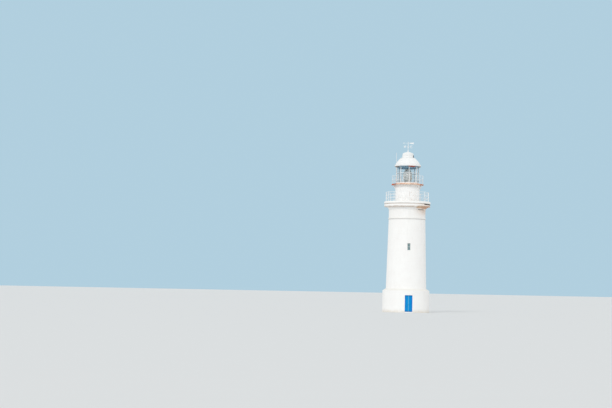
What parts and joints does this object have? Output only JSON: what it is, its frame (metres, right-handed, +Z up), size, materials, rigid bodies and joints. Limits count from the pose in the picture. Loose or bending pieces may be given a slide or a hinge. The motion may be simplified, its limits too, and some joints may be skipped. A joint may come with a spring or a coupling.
{
  "type": "lighthouse",
  "caption": "Round whitewashed masonry lighthouse with a corbelled gallery, glazed lantern under a domed roof, weather vane and blue double door.",
  "frame": {"origin": "on the tower's vertical axis at ground level", "axes": "+Z up along the tower's axis; the entrance door faces -Y; +X to the right of it"},
  "size_m": [5.8596, 5.8598, 21.337],
  "materials": {
    "whitewashed_stone": "limewashed plaster over ashlar",
    "bare_stone": "painted stone slab, weathered",
    "blue_paint": "gloss paint",
    "white_iron": "gloss paint, rust at joints",
    "rusty_iron": "white paint worn to rust",
    "white_window_wood": "gloss paint",
    "window_glass": "clear",
    "lantern_glass": "clear",
    "lens_glass": "polished prisms",
    "lens_brass": "polished",
    "pedestal_green": "paint",
    "roof_white": "satin paint",
    "black_iron": "black paint",
    "vane_metal": "satin paint"
  },
  "bodies": {
    "tower": {"base_wall_beside_door_left": "whitewashed_stone", "base_wall_beside_door_right": "whitewashed_stone", "base_wall_over_door": "whitewashed_stone", "base_wall_side_segments": "whitewashed_stone", "base_wall_corner_segments": "whitewashed_stone", "shaft_wall_side_segments": "whitewashed_stone", "shaft_wall_corner_segments": "whitewashed_stone", "corbel_side_segments": "whitewashed_stone", "corbel_corner_segments": "whitewashed_stone", "gallery_bed_slab": "whitewashed_stone", "ground_floor": "bare_stone", "door_sill": "bare_stone", "gallery_deck": "bare_stone", "door_frame": "blue_paint", "gallery_railing_side_bays": "white_iron", "gallery_railing_corner_bays": "white_iron", "murette_panels_door_side": "white_iron", "murette_panels_between": "white_iron", "gallery_door": "white_iron", "catwalk_brackets": "white_iron", "catwalk_railing_side_bays": "white_iron", "catwalk_railing_corner_bays": "white_iron", "lantern_sill": "white_iron", "lantern_uprights": "white_iron", "lantern_midbars": "white_iron", "lantern_head": "white_iron", "aerial_mast": "white_iron", "catwalk_side_plates": "rusty_iron", "catwalk_corner_plates": "rusty_iron", "window_frames": "white_window_wood", "window_panes": "window_glass", "lantern_panes": "lantern_glass", "lens_glass": "lens_glass", "lens_frame": "lens_brass", "lens_pedestal": "pedestal_green", "lantern_gutter": "roof_white", "dome_sheets_first_set": "roof_white", "dome_sheets_second_set": "roof_white", "dome_ribs": "roof_white", "ventilator_drum": "roof_white", "ventilator_cap": "roof_white", "vane_spindle": "roof_white", "door_pintles": "black_iron"},
    "door_left": {"door_leaf_left": "blue_paint"},
    "door_right": {"door_leaf_right": "blue_paint", "door_handle": "black_iron"},
    "vane": {"vane_arrow": "vane_metal"}
  },
  "joints": [
    {"name": "door_left_swing", "type": "hinge", "parent": "tower", "child": "door_left", "pos_m": [-0.4225, -2.6525, 1.1], "axis": [0, 0, 1], "range_deg": [0, 90]},
    {"name": "door_right_swing", "type": "hinge", "parent": "tower", "child": "door_right", "pos_m": [0.4225, -2.6525, 1.1], "axis": [0, 0, -1], "range_deg": [0, 90]},
    {"name": "vane_spin", "type": "hinge", "parent": "tower", "child": "vane", "pos_m": [0, 0, 21.16], "axis": [0, 0, 1], "continuous": true}
  ]
}
